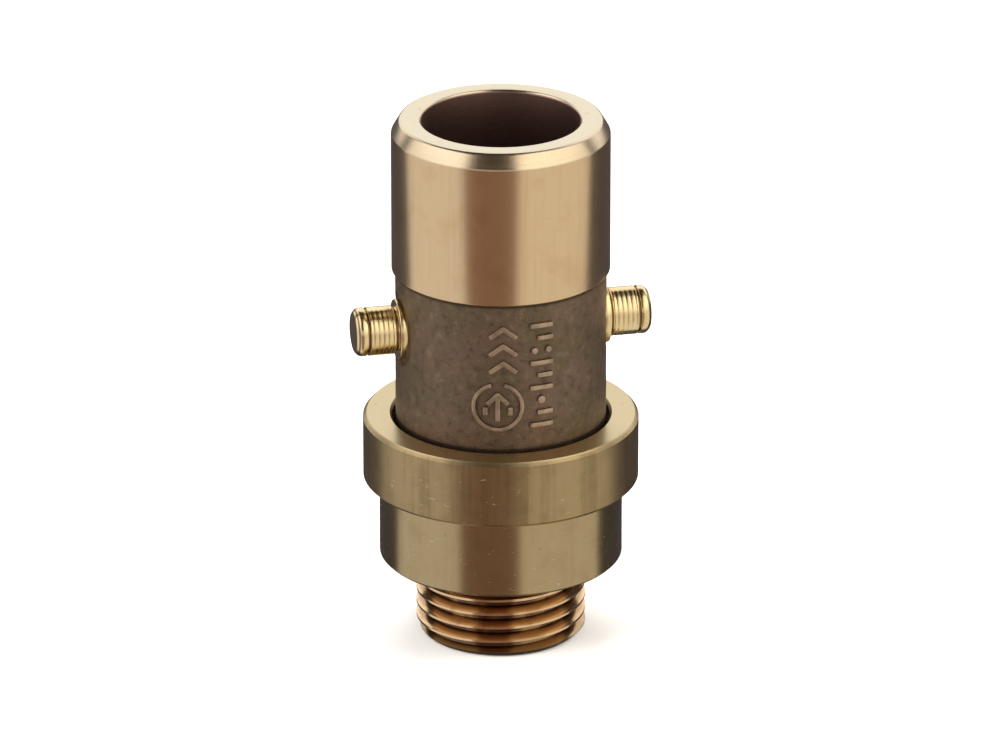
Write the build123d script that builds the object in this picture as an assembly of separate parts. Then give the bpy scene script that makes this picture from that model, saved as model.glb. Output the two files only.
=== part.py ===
"""Automatic air vent for a heating or water pipe, in millimetres.

The vent stands on its G 1/2 inlet spigot, with +Z up and the origin at the centre of the spigot's end.
Water enters the hub through a strainer and lifts a float. The float swings a lever, and the lever's
rubber pad shuts a nozzle in the seat cartridge. Air leaves through the nozzle, lifts a light check disc
and goes out of the open mouth at the top. The upper body is held in the hub by a union collar, and two
lugs on its sides take a bayonet hose coupling. Each function makes one piece, and every piece that fits
another takes its size from the same values and a named clearance.
"""

import math
import os

from build123d import *

# Inlet spigot with a parallel G 1/2 thread
THREAD_MAJOR_D = 20.955
THREAD_PITCH = 1.814
THREAD_DEPTH = 1.162
THREAD_HALF_ANGLE = 27.5
THREAD_CREST = 0.3
SPIGOT_LENGTH = 10.1
SPIGOT_BORE_D = 13.0
SPIGOT_CHAMFER = 0.8
THREAD_RELIEF = 1.5

# Hub, the lower housing
HUB_D = 30.0
HUB_HEIGHT = 10.1
HUB_CHAMFER = 0.35
SEAT_RECESS = 0.4
FLOOR_THICKNESS = 2.9
CHAMBER_D = 24.9

# Inlet strainer and its ring, in a recess of the hub's floor
STRAINER_D = 15.8
STRAINER_THICKNESS = 0.6
STRAINER_HOLE_D = 1.1
STRAINER_HOLE_PITCH = 1.9
STRAINER_RING_THICKNESS = 0.6
STRAINER_RING_WIDTH = 1.2
STRAINER_GROOVE_DEPTH = 0.5

# Union collar with an M30 x 1 thread on the hub
COLLAR_D = 34.0
COLLAR_CHAMFER = 0.45
UNION_PITCH = 1.0
UNION_MAJOR_D = 30.0
UNION_DEPTH = 0.6
UNION_HALF_ANGLE = 30.0
UNION_CREST = 0.16
UNION_RELIEF = 1.25
UNION_CHAMFER = 0.4
UNION_ENGAGEMENT = 4.4
UNION_THREAD_CLEARANCE = 0.1
COUNTERBORE_DEPTH = 0.7
COLLAR_RISE = 4.0
LIP_THICKNESS = 1.5
LIP_CHAMFER = 0.3
THRUST_RING_THICKNESS = 0.8
SLIP_WASHER_THICKNESS = 0.4

# Upper body, a casting
BODY_D = 26.0
BODY_GAP = 0.4
CAST_HEIGHT = 19.0
FLANGE_THICKNESS = 1.4
TAIL_LENGTH = 4.2
TAIL_WALL = 1.0
SHOULDER_THICKNESS = 1.5
SHOULDER_STEP = 1.0
BORE_D = 19.0
NECK_D = 23.6
NECK_LENGTH = 9.9

# Outlet sleeve, the machined mouth
SLEEVE_D = 26.8
SLEEVE_HEIGHT = 19.5
MOUTH_D = 19.4
RIM_CHAMFER_WIDTH = 1.05
RIM_CHAMFER_HEIGHT = 1.8
RIM_ROUND = 0.45
MOUTH_CHAMFER = 0.3
SLEEVE_EDGE_CHAMFER = 0.25

# Lugs for the bayonet coupling
LUG_HEIGHT = 12.0
LUG_D = 6.0
LUG_REACH = 18.5
LUG_TIP_ROUND = 0.8
LUG_FLANGE_D = 7.4
LUG_FLANGE_THICKNESS = 1.0
SPOTFACE_D = 9.4
SPOTFACE_DEPTH = 0.8
LUG_STEM_D = 5.0
LUG_KEY_D = 3.2
LUG_KEY_DEPTH = 1.6

# Seat cartridge in the body
CARTRIDGE_HEIGHT = 7.0
CARTRIDGE_PIN_HEIGHT = 4.2
OUTLET_CAVITY_D = 10.0
OUTLET_CAVITY_DEPTH = 4.3
NOZZLE_STEM_D = 3.6
NOZZLE_STEM_LENGTH = 1.7
NOZZLE_HEAD_D = 4.4
NOZZLE_HEAD_LENGTH = 0.7
NOZZLE_TIP_D = 1.6
ORIFICE_D = 0.8
PASSAGE_D = 2.4

# Lever and its pins
PIVOT_INSET = 2.2
PIVOT_DROP = 2.7
PIVOT_PIN_D = 1.2
LEVER_WIDTH = 2.4
LEVER_BAR_HEIGHT = 1.6
LEVER_BOSS_D = 2.6
LEVER_EYE_D = 2.6
LINK_INSET = 3.3
LINK_PIN_D = 1.0
CHEEK_THICKNESS = 1.1
CHEEK_WIDTH = 2.6
PIN_OVERHANG = 0.35
PAD_D = 2.0
PAD_DEPTH = 0.7
PAD_PROUD = 0.25

# Float
FLOAT_GAP = 0.8
FLOAT_WALL = 0.8
FLOAT_LID_THICKNESS = 1.0
FLOAT_LID_SPIGOT = 1.2
FLOAT_TRAVEL = 3.5
FLOAT_EDGE_RADIUS = 0.5
LINK_HEIGHT = 2.3
FOOT_D = 0.9
FOOT_HEIGHT = 0.8
FOOT_COUNT = 4

# Check disc, spring and cage above the cartridge
CHECK_SEAL_D = 12.8
CHECK_SEAL_THICKNESS = 0.6
CHECK_DISC_THICKNESS = 0.8
CHECK_BOSS_D = 4.4
CHECK_BOSS_HEIGHT = 0.8
CHECK_STEM_D = 2.0
CHECK_TRAVEL = 1.8
CHECK_HEADROOM = 2.0
CHECK_STACK = CHECK_SEAL_THICKNESS + CHECK_DISC_THICKNESS + CHECK_BOSS_HEIGHT
SPACER_HEIGHT = CHECK_STACK + CHECK_TRAVEL + CHECK_HEADROOM
SPACER_WALL = 1.0
CAGE_THICKNESS = 1.2
CAGE_RIM = 2.0
CAGE_HUB_D = 4.6
CAGE_SPOKE = 1.6
CAGE_SPOKES = 4
SPRING_WIRE = 0.4
SPRING_D = 6.0
SPRING_TURNS = 4
RETAINING_RING_THICKNESS = 0.7
RETAINING_RING_WIDTH = 1.3
RETAINING_GROOVE_DEPTH = 0.6
RING_GAP_ANGLE = 34.0

# O-rings and clearances
TAIL_SEAL_SECTION = 1.4
CARTRIDGE_SEAL_SECTION = 1.3
SLEEVE_SEAL_SECTION = 1.0
SEAL_GAP = 0.025
SEAL_SIDE_GAP = 0.25
RUNNING_CLEARANCE = 0.05
PIN_CLEARANCE = 0.03
FACE_CLEARANCE = 0.1
LINK_CLEARANCE = 0.12

# Heights of the stack, from the spigot's end up
Z_HUB = SPIGOT_LENGTH
Z_FLOOR = Z_HUB + FLOOR_THICKNESS
Z_COLLAR = Z_HUB + HUB_HEIGHT
Z_HUB_TOP = Z_COLLAR + UNION_ENGAGEMENT
Z_FLANGE = Z_HUB_TOP + THRUST_RING_THICKNESS
Z_SLIP = Z_FLANGE + FLANGE_THICKNESS
Z_LIP = Z_SLIP + SLIP_WASHER_THICKNESS
Z_COLLAR_TOP = Z_LIP + LIP_THICKNESS
Z_LUG = Z_COLLAR_TOP + LUG_HEIGHT
Z_CAST_TOP = Z_COLLAR_TOP + CAST_HEIGHT
Z_RIM = Z_CAST_TOP + SLEEVE_HEIGHT
Z_NECK_TOP = Z_CAST_TOP + NECK_LENGTH
Z_CARTRIDGE = Z_LUG - CARTRIDGE_PIN_HEIGHT
Z_CARTRIDGE_TOP = Z_CARTRIDGE + CARTRIDGE_HEIGHT
Z_SHOULDER = Z_CARTRIDGE - SHOULDER_THICKNESS
Z_PIVOT = Z_CARTRIDGE - PIVOT_DROP
Z_LINK = Z_PIVOT - FLOAT_TRAVEL
Z_FLOAT_TOP = Z_LINK - LINK_HEIGHT
Z_CHECK_DISC = Z_CARTRIDGE_TOP + CHECK_SEAL_THICKNESS
Z_SPRING = Z_CHECK_DISC + CHECK_DISC_THICKNESS
Z_CAGE = Z_CARTRIDGE_TOP + SPACER_HEIGHT
Z_RETAINING_RING = Z_CAGE + CAGE_THICKNESS

# Radii that several pieces share
BORE_R = BORE_D / 2
CHAMBER_R = CHAMBER_D / 2
TAIL_R = CHAMBER_R - RUNNING_CLEARANCE
FLOAT_BORE_R = CHAMBER_R - TAIL_SEAL_SECTION - 2 * SEAL_GAP - TAIL_WALL
FLOAT_R = FLOAT_BORE_R - FLOAT_GAP
SHOULDER_BORE_R = min(BORE_R, FLOAT_BORE_R) - SHOULDER_STEP
LIP_BORE_R = BODY_D / 2 + BODY_GAP
UNION_MALE_R = UNION_MAJOR_D / 2 - UNION_THREAD_CLEARANCE / 2
UNION_MINOR_R = UNION_MAJOR_D / 2 - UNION_DEPTH + UNION_THREAD_CLEARANCE
FLANGE_R = UNION_MINOR_R - 2 * UNION_THREAD_CLEARANCE
CARTRIDGE_R = BORE_R - RUNNING_CLEARANCE
SPOTFACE_X = BODY_D / 2 - SPOTFACE_DEPTH
LUG_HOLE_R = LUG_STEM_D / 2 + PIN_CLEARANCE
PIVOT_X = PIVOT_INSET - SHOULDER_BORE_R
LINK_X = SHOULDER_BORE_R - LINK_INSET
NOZZLE_X = PIVOT_X + (CHEEK_WIDTH + NOZZLE_HEAD_D) / 2 + 2 * FACE_CLEARANCE
LEVER_ARM = LINK_X - PIVOT_X
LEVER_REST_ANGLE = math.degrees(math.atan2(FLOAT_TRAVEL, LEVER_ARM))
CHEEK_Y = LEVER_WIDTH / 2 + FACE_CLEARANCE

LOW = (Align.CENTER, Align.CENTER, Align.MIN)


def disc(radius, low, high):
    """A plain round solid on the main axis."""
    return Pos(0, 0, low) * Cylinder(radius, high - low, align=LOW)


def ring(outer, inner, low, high):
    """A plain ring on the main axis."""
    return disc(outer, low, high) - disc(inner, low, high)


def turned(*points):
    """A solid of revolution from the (radius, height) corners of its half section."""
    section = make_face(Polyline(*[(r, 0, z) for r, z in points], close=True))
    return revolve(section, Axis.Z)


def o_ring(outer, section, height):
    """An O-ring that just clears the bore of the given radius."""
    centre = outer - SEAL_GAP - section / 2
    return Pos(0, 0, height) * Torus(centre, section / 2)


def seal_groove(outer, section, height):
    """What is cut away for an O-ring that seals outwards against a bore of the given radius."""
    half_width = section / 2 + SEAL_SIDE_GAP
    floor = outer - section - 2 * SEAL_GAP
    return ring(outer + section, floor, height - half_width, height + half_width)


def thread_cutter(radius, pitch, depth, half_angle, crest, low, high, inward):
    """A helical V groove from low to high, cut into a shaft (inward) or into a bore's wall.

    crest is the width of the flat left between turns.
    """
    helix = Helix(pitch=pitch, height=high - low, radius=radius)
    slope = math.tan(math.radians(half_angle))
    side = -1 if inward else 1
    overrun = 0.4 * crest / slope
    mouth = (pitch - crest) / 2
    root = max(mouth - depth * slope, 0.06 * pitch)
    start = helix @ 0
    outward = Vector(start.X, start.Y, 0).normalized()
    across = Plane(origin=start, x_dir=outward, z_dir=helix % 0)
    corners = [
        (-side * overrun, mouth + overrun * slope),
        (side * depth, root),
        (side * depth, -root),
        (-side * overrun, -mouth - overrun * slope),
    ]
    section = make_face(across * Polyline(*corners, close=True))
    groove = sweep(section, path=helix, is_frenet=True)
    return Pos(0, 0, low) * groove


def cut_thread(stock, radius, shoulder, free_end, groove, relief, chamfer):
    """Threads a plain length of stock. The relief lies against the shoulder, the chamfer at the free end.

    groove is the (pitch, depth, half angle, crest, start) of the thread, and its start is a height.
    """
    pitch, depth, half_angle, crest, start = groove
    outward = 1 if free_end > shoulder else -1
    finish = free_end + pitch if outward > 0 else shoulder - relief / 2
    stock -= thread_cutter(radius, pitch, depth, half_angle, crest, start, finish, inward=True)
    far = radius + depth
    floor = radius - depth - FACE_CLEARANCE
    stock -= ring(far, floor, *sorted((shoulder, shoulder + outward * relief)))
    slope_end = free_end - outward * (chamfer + depth)
    return stock - turned((radius - chamfer, free_end), (far, free_end), (far, slope_end))


def hub():
    """Lower housing: threaded spigot, float chamber and the union thread on its outside."""
    hub_r = HUB_D / 2
    spigot_r = THREAD_MAJOR_D / 2
    z_neck = Z_COLLAR + COUNTERBORE_DEPTH / 2
    body = turned(
        (SPIGOT_BORE_D / 2, 0),
        (spigot_r, 0),
        (spigot_r, Z_HUB),
        (hub_r - HUB_CHAMFER, Z_HUB),
        (hub_r, Z_HUB + HUB_CHAMFER),
        (hub_r, z_neck),
        (UNION_MALE_R, z_neck),
        (UNION_MALE_R, Z_HUB_TOP),
        (CHAMBER_R, Z_HUB_TOP),
        (CHAMBER_R, Z_FLOOR),
        (SPIGOT_BORE_D / 2, Z_FLOOR),
    )
    body = cut_thread(
        body,
        spigot_r,
        Z_HUB,
        0,
        (THREAD_PITCH, THREAD_DEPTH, THREAD_HALF_ANGLE, THREAD_CREST, -THREAD_PITCH),
        THREAD_RELIEF,
        SPIGOT_CHAMFER,
    )
    body = cut_thread(
        body,
        UNION_MALE_R,
        z_neck,
        Z_HUB_TOP,
        (UNION_PITCH, UNION_DEPTH, UNION_HALF_ANGLE, UNION_CREST, Z_COLLAR + UNION_PITCH),
        UNION_RELIEF,
        UNION_CHAMFER,
    )
    body -= ring(spigot_r + SEAT_RECESS, spigot_r - THREAD_DEPTH - FACE_CLEARANCE, Z_HUB, Z_HUB + SEAT_RECESS)
    recess_r = STRAINER_D / 2 + FACE_CLEARANCE
    z_recess = Z_FLOOR - STRAINER_THICKNESS - STRAINER_RING_THICKNESS - 2 * FACE_CLEARANCE
    body -= disc(recess_r, z_recess, Z_FLOOR)
    z_groove = z_recess + STRAINER_THICKNESS
    groove_r = recess_r + STRAINER_GROOVE_DEPTH
    return body - disc(groove_r, z_groove, z_groove + STRAINER_RING_THICKNESS + FACE_CLEARANCE)


def strainer():
    """Perforated disc over the inlet, with its holes in rows on a triangular pitch."""
    radius = STRAINER_D / 2
    z_low = Z_FLOOR - STRAINER_THICKNESS - STRAINER_RING_THICKNESS - 2 * FACE_CLEARANCE
    plate = disc(radius, z_low, z_low + STRAINER_THICKNESS)
    row_step = STRAINER_HOLE_PITCH * math.sin(math.radians(60))
    reach = SPIGOT_BORE_D / 2 - STRAINER_HOLE_D
    rows = int(reach / row_step)
    holes = []
    for row in range(-rows, rows + 1):
        shift = STRAINER_HOLE_PITCH / 2 if row % 2 else 0
        for column in range(-rows - 1, rows + 2):
            x = column * STRAINER_HOLE_PITCH + shift
            y = row * row_step
            if math.hypot(x, y) <= reach:
                holes.append(Pos(x, y, z_low) * Cylinder(STRAINER_HOLE_D / 2, STRAINER_THICKNESS, align=LOW))
    return plate - holes


def split_ring(outer, width, low, thickness):
    """A snap ring, with a gap on its +Y side."""
    whole = ring(outer, outer - width, low, low + thickness)
    gap_width = 2 * outer * math.sin(math.radians(RING_GAP_ANGLE / 2))
    gap = Pos(0, outer, low) * Box(gap_width, 2 * width + outer / 2, thickness, align=LOW)
    return whole - gap


def strainer_ring():
    """Snap ring that holds the strainer down."""
    z_groove = Z_FLOOR - STRAINER_RING_THICKNESS - 2 * FACE_CLEARANCE
    outer = STRAINER_D / 2 + STRAINER_GROOVE_DEPTH
    return split_ring(outer, STRAINER_RING_WIDTH, z_groove, STRAINER_RING_THICKNESS)


def union_collar():
    """Round collar nut that holds the body's flange down on the hub.

    Its helical groove starts half a pitch from the hub's, so that the two threads mesh.
    """
    outer = COLLAR_D / 2
    clear_r = UNION_MAJOR_D / 2 + 2 * UNION_THREAD_CLEARANCE
    nut = ring(outer, UNION_MINOR_R, Z_COLLAR, Z_LIP)
    nut -= thread_cutter(
        UNION_MINOR_R,
        UNION_PITCH,
        UNION_DEPTH,
        UNION_HALF_ANGLE,
        UNION_CREST / 2,
        Z_COLLAR - UNION_PITCH / 2,
        Z_HUB_TOP + UNION_PITCH / 2,
        inward=False,
    )
    nut -= disc(clear_r, Z_COLLAR, Z_COLLAR + COUNTERBORE_DEPTH)
    nut -= disc(clear_r, Z_HUB_TOP + UNION_PITCH / 2, Z_LIP)
    nut += ring(outer, LIP_BORE_R, Z_LIP, Z_COLLAR_TOP)
    edges = nut.edges().filter_by(GeomType.CIRCLE)
    nut = chamfer([edge for edge in edges if abs(edge.radius - outer) < PIN_CLEARANCE], COLLAR_CHAMFER)
    edges = nut.edges().filter_by(GeomType.CIRCLE)
    mouth = [edge for edge in edges if abs(edge.radius - LIP_BORE_R) < PIN_CLEARANCE]
    return chamfer(ShapeList(mouth).sort_by(Axis.Z)[-1], LIP_CHAMFER)


def thrust_ring():
    """Low-friction ring that the body's flange turns on."""
    outer = UNION_MALE_R - UNION_DEPTH
    return ring(outer, TAIL_R + FACE_CLEARANCE, Z_HUB_TOP, Z_FLANGE)


def slip_washer():
    """Washer held captive under the collar's lip."""
    outer = UNION_MAJOR_D / 2 - FACE_CLEARANCE
    return ring(outer, LIP_BORE_R + RUNNING_CLEARANCE, Z_SLIP, Z_LIP)


def body_casting():
    """Cast upper body: tail, flange, plain barrel and the neck inside the sleeve."""
    z_tail = Z_HUB_TOP - TAIL_LENGTH
    barrel_r = BODY_D / 2
    casting = turned(
        (FLOAT_BORE_R, z_tail),
        (TAIL_R, z_tail),
        (TAIL_R, Z_FLANGE),
        (FLANGE_R, Z_FLANGE),
        (FLANGE_R, Z_SLIP),
        (barrel_r, Z_SLIP),
        (barrel_r, Z_CAST_TOP),
        (NECK_D / 2, Z_CAST_TOP),
        (NECK_D / 2, Z_NECK_TOP),
        (BORE_R, Z_NECK_TOP),
        (BORE_R, Z_CARTRIDGE),
        (SHOULDER_BORE_R, Z_CARTRIDGE),
        (SHOULDER_BORE_R, Z_SHOULDER),
        (FLOAT_BORE_R, Z_SHOULDER),
    )
    casting -= seal_groove(CHAMBER_R, TAIL_SEAL_SECTION, tail_seal_height())
    casting -= seal_groove(sleeve_bore_radius(), SLEEVE_SEAL_SECTION, sleeve_seal_height())
    z_groove_top = Z_RETAINING_RING + RETAINING_RING_THICKNESS + FACE_CLEARANCE
    casting -= disc(BORE_R + RETAINING_GROOVE_DEPTH, Z_RETAINING_RING, z_groove_top)
    for side in (-1, 1):
        casting -= along_x(side, LUG_HOLE_R, 0, BODY_D)
        casting -= along_x(side, SPOTFACE_D / 2, SPOTFACE_X, BODY_D)
    return casting


def along_x(side, radius, near, far):
    """A round solid along the lugs' axis, from near to far of the main axis, on one side."""
    turn = Rot(0, 90 * side, 0)
    return Pos(side * near, 0, Z_LUG) * turn * Cylinder(radius, far - near, align=LOW)


def tail_seal_height():
    return Z_HUB_TOP - TAIL_LENGTH / 2


def sleeve_seal_height():
    return Z_NECK_TOP - 2 * SLEEVE_SEAL_SECTION


def sleeve_bore_radius():
    return NECK_D / 2 + RUNNING_CLEARANCE


def cartridge_seal_height():
    return Z_CARTRIDGE + CARTRIDGE_SEAL_SECTION / 2 + 2 * SEAL_SIDE_GAP


def outlet_sleeve():
    """Machined sleeve over the body's neck, with the open mouth at its top."""
    outer = SLEEVE_D / 2
    mouth_r = MOUTH_D / 2
    z_step = Z_NECK_TOP + 2 * FACE_CLEARANCE
    sleeve = turned(
        (sleeve_bore_radius(), Z_CAST_TOP),
        (outer - SLEEVE_EDGE_CHAMFER, Z_CAST_TOP),
        (outer, Z_CAST_TOP + SLEEVE_EDGE_CHAMFER),
        (outer, Z_RIM - RIM_CHAMFER_HEIGHT),
        (outer - RIM_CHAMFER_WIDTH, Z_RIM),
        (mouth_r + MOUTH_CHAMFER, Z_RIM),
        (mouth_r, Z_RIM - MOUTH_CHAMFER),
        (mouth_r, z_step),
        (sleeve_bore_radius(), z_step),
    )
    shoulder = [
        edge
        for edge in sleeve.edges().filter_by(GeomType.CIRCLE)
        if edge.radius > outer - RIM_CHAMFER_WIDTH - FACE_CLEARANCE and edge.center().Z > Z_NECK_TOP
    ]
    return fillet(shoulder, RIM_ROUND)


def lug(side):
    """Shouldered lug: bayonet pin, flange in the spotface, stem in the wall and key in the cartridge."""
    flange_end = SPOTFACE_X + LUG_FLANGE_THICKNESS
    key_end = CARTRIDGE_R - LUG_KEY_DEPTH
    pin = along_x(side, LUG_D / 2, flange_end, LUG_REACH)
    rim = pin.edges().filter_by(GeomType.CIRCLE).sort_by(Axis.X)[-1 if side > 0 else 0]
    pin = fillet(rim, LUG_TIP_ROUND)
    pin += along_x(side, LUG_FLANGE_D / 2, SPOTFACE_X, flange_end)
    pin += along_x(side, LUG_STEM_D / 2, BORE_R, SPOTFACE_X)
    pin += along_x(side, LUG_KEY_D / 2, key_end, BORE_R)
    return pin


def cheeks(x, low, high, hole_d, hole_z, open_below):
    """A pair of round-ended cheeks on each side of the lever, with a pin hole through both."""
    pair = []
    for side in (-1, 1):
        y_low = CHEEK_Y if side > 0 else -CHEEK_Y - CHEEK_THICKNESS
        block = Pos(x, y_low, low) * Box(
            CHEEK_WIDTH, CHEEK_THICKNESS, high - low, align=(Align.CENTER, Align.MIN, Align.MIN)
        )
        end_z = low if open_below else high
        across = block.edges().filter_by(Axis.Y)
        corners = across.filter_by_position(Axis.Z, end_z - PIN_CLEARANCE, end_z + PIN_CLEARANCE)
        pair.append(fillet(corners, CHEEK_WIDTH / 2 - 2 * PIN_CLEARANCE))
    hole = Pos(x, 0, hole_z) * Rot(90, 0, 0) * Cylinder(hole_d / 2 + PIN_CLEARANCE, 4 * LEVER_WIDTH)
    return [cheek - hole for cheek in pair]


def seat_cartridge():
    """Turned insert that carries the nozzle and the lever's bracket, and is locked by the lugs' keys."""
    cartridge = disc(CARTRIDGE_R, Z_CARTRIDGE, Z_CARTRIDGE_TOP)
    z_cavity = Z_CARTRIDGE_TOP - OUTLET_CAVITY_DEPTH
    cartridge -= disc(OUTLET_CAVITY_D / 2, z_cavity, Z_CARTRIDGE_TOP)
    stem_r = NOZZLE_STEM_D / 2 + PIN_CLEARANCE
    cartridge -= Pos(NOZZLE_X, 0, Z_CARTRIDGE) * Cylinder(stem_r, NOZZLE_STEM_LENGTH, align=LOW)
    cartridge -= Pos(NOZZLE_X, 0, Z_CARTRIDGE) * Cylinder(PASSAGE_D / 2, CARTRIDGE_HEIGHT, align=LOW)
    cartridge -= seal_groove(BORE_R, CARTRIDGE_SEAL_SECTION, cartridge_seal_height())
    for side in (-1, 1):
        depth_end = CARTRIDGE_R - LUG_KEY_DEPTH - FACE_CLEARANCE
        cartridge -= along_x(side, LUG_KEY_D / 2 + FACE_CLEARANCE, depth_end, BORE_R)
    z_cheek = Z_PIVOT - CHEEK_WIDTH / 2
    for cheek in cheeks(PIVOT_X, z_cheek, Z_CARTRIDGE, PIVOT_PIN_D, Z_PIVOT, open_below=True):
        cartridge += cheek
    return cartridge


def pad_top():
    """How far the pad's face stands above the lever's middle line."""
    return LEVER_BAR_HEIGHT / 2 + PAD_PROUD


def nozzle():
    """Screwed-in nozzle, with its tip just above the pad when the float is up."""
    z_tip = Z_PIVOT + pad_top() + RUNNING_CLEARANCE
    z_head = Z_CARTRIDGE - NOZZLE_HEAD_LENGTH
    shape = turned(
        (ORIFICE_D / 2, z_tip),
        (NOZZLE_TIP_D / 2, z_tip),
        (NOZZLE_HEAD_D / 2, z_head),
        (NOZZLE_HEAD_D / 2, Z_CARTRIDGE),
        (NOZZLE_STEM_D / 2, Z_CARTRIDGE),
        (NOZZLE_STEM_D / 2, Z_CARTRIDGE + NOZZLE_STEM_LENGTH),
        (ORIFICE_D / 2, Z_CARTRIDGE + NOZZLE_STEM_LENGTH),
    )
    return Pos(NOZZLE_X, 0, 0) * shape


def tilted(shape):
    """Turns a piece of the lever from level, valve shut, to where it hangs with the float down."""
    return shape.rotate(Axis((PIVOT_X, 0, Z_PIVOT), (0, 1, 0)), LEVER_REST_ANGLE)


def float_lever():
    """Lever with a pivot boss, a bar, a slotted eye for the float's pin and a recess for the pad."""
    boss = across_lever(PIVOT_X, LEVER_BOSS_D / 2)
    slot_reach = LEVER_ARM / math.cos(math.radians(LEVER_REST_ANGLE)) - LEVER_ARM
    eye_far = LINK_X + slot_reach
    bar = Pos((PIVOT_X + LINK_X) / 2, 0, Z_PIVOT) * Box(LEVER_ARM, LEVER_WIDTH, LEVER_BAR_HEIGHT)
    eye_bar = Pos((LINK_X + eye_far) / 2, 0, Z_PIVOT) * Box(slot_reach, LEVER_WIDTH, LEVER_EYE_D)
    lever = boss + bar + across_lever(LINK_X, LEVER_EYE_D / 2) + eye_bar
    lever += across_lever(eye_far, LEVER_EYE_D / 2)
    slot_r = LINK_PIN_D / 2 + LINK_CLEARANCE
    slot = Pos((LINK_X + eye_far) / 2, 0, Z_PIVOT) * Box(slot_reach, 2 * LEVER_WIDTH, 2 * slot_r)
    lever -= slot + across_lever(LINK_X, slot_r, 2) + across_lever(eye_far, slot_r, 2)
    lever -= across_lever(PIVOT_X, PIVOT_PIN_D / 2 + RUNNING_CLEARANCE, 2)
    z_recess = Z_PIVOT + LEVER_BAR_HEIGHT / 2 - PAD_DEPTH
    recess = Cylinder(PAD_D / 2 + PIN_CLEARANCE, LEVER_BAR_HEIGHT, align=LOW)
    lever -= Pos(NOZZLE_X, 0, z_recess) * recess
    return tilted(lever)


def across_lever(x, radius, widths=1):
    """A round solid across the level lever."""
    return Pos(x, 0, Z_PIVOT) * Rot(90, 0, 0) * Cylinder(radius, widths * LEVER_WIDTH)


def valve_pad():
    """Rubber pad in the lever that shuts the nozzle."""
    z_low = Z_PIVOT + LEVER_BAR_HEIGHT / 2 - PAD_DEPTH
    pad = Pos(NOZZLE_X, 0, z_low) * Cylinder(PAD_D / 2, PAD_DEPTH + PAD_PROUD, align=LOW)
    return tilted(pad)


def cross_pin(x, z, diameter):
    """A pin across both cheeks."""
    length = 2 * (CHEEK_Y + CHEEK_THICKNESS + PIN_OVERHANG)
    return Pos(x, 0, z) * Rot(90, 0, 0) * Cylinder(diameter / 2, length)


def float_cup():
    """Lower shell of the float, on small feet so that water can pass under it."""
    radius = FLOAT_R
    z_low = Z_FLOOR + FOOT_HEIGHT
    z_high = Z_FLOAT_TOP - FLOAT_LID_THICKNESS
    cup = disc(radius, z_low, z_high)
    cup = fillet(cup.edges().sort_by(Axis.Z)[0], FLOAT_EDGE_RADIUS)
    cup -= disc(radius - FLOAT_WALL, z_low + FLOAT_WALL, z_high)
    foot_circle = radius - FLOAT_EDGE_RADIUS - FOOT_D
    for n in range(FOOT_COUNT):
        place = Rot(0, 0, 360 * (n + 0.5) / FOOT_COUNT) * Pos(foot_circle, 0, Z_FLOOR)
        cup += place * Cylinder(FOOT_D / 2, FOOT_HEIGHT, align=LOW)
    return cup


def float_lid():
    """Upper shell of the float, with the cheeks that carry the link pin."""
    z_lid = Z_FLOAT_TOP - FLOAT_LID_THICKNESS
    lid = disc(FLOAT_R, z_lid, Z_FLOAT_TOP)
    lid = fillet(lid.edges().sort_by(Axis.Z)[-1], FLOAT_EDGE_RADIUS)
    spigot_r = FLOAT_R - FLOAT_WALL - RUNNING_CLEARANCE
    lid += ring(spigot_r, spigot_r - FLOAT_WALL, z_lid - FLOAT_LID_SPIGOT, z_lid)
    z_cheek_top = Z_LINK + CHEEK_WIDTH / 2
    for cheek in cheeks(LINK_X, Z_FLOAT_TOP, z_cheek_top, LINK_PIN_D, Z_LINK, open_below=False):
        lid += cheek
    return lid


def check_seal():
    """Rubber face of the check disc."""
    return ring(CHECK_SEAL_D / 2, CHECK_STEM_D / 2, Z_CARTRIDGE_TOP, Z_CHECK_DISC)


def check_disc():
    """Check disc with a boss inside the spring and a stem that the cage guides."""
    z_boss = Z_SPRING + CHECK_BOSS_HEIGHT
    z_stem_top = Z_RETAINING_RING + FACE_CLEARANCE
    return turned(
        (0, Z_CARTRIDGE_TOP),
        (CHECK_STEM_D / 2, Z_CARTRIDGE_TOP),
        (CHECK_STEM_D / 2, Z_CHECK_DISC),
        (CHECK_SEAL_D / 2 - FACE_CLEARANCE, Z_CHECK_DISC),
        (CHECK_SEAL_D / 2 - FACE_CLEARANCE, Z_SPRING),
        (CHECK_BOSS_D / 2, Z_SPRING),
        (CHECK_BOSS_D / 2, z_boss),
        (CHECK_STEM_D / 2, z_boss),
        (CHECK_STEM_D / 2, z_stem_top),
        (0, z_stem_top),
    )


def check_spring():
    """Light compression spring between the disc and the cage."""
    end_gap = SPRING_WIRE / 2 + PIN_CLEARANCE
    height = Z_CAGE - Z_SPRING - 2 * end_gap
    helix = Helix(pitch=height / SPRING_TURNS, height=height, radius=SPRING_D / 2)
    section = Plane(origin=helix @ 0, z_dir=helix % 0) * Circle(SPRING_WIRE / 2)
    coil = sweep(section, path=helix, is_frenet=True)
    return Pos(0, 0, Z_SPRING + end_gap) * coil


def spacer_tube():
    """Tube that carries the cage above the cartridge."""
    return ring(CARTRIDGE_R, CARTRIDGE_R - SPACER_WALL, Z_CARTRIDGE_TOP, Z_CAGE)


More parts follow.
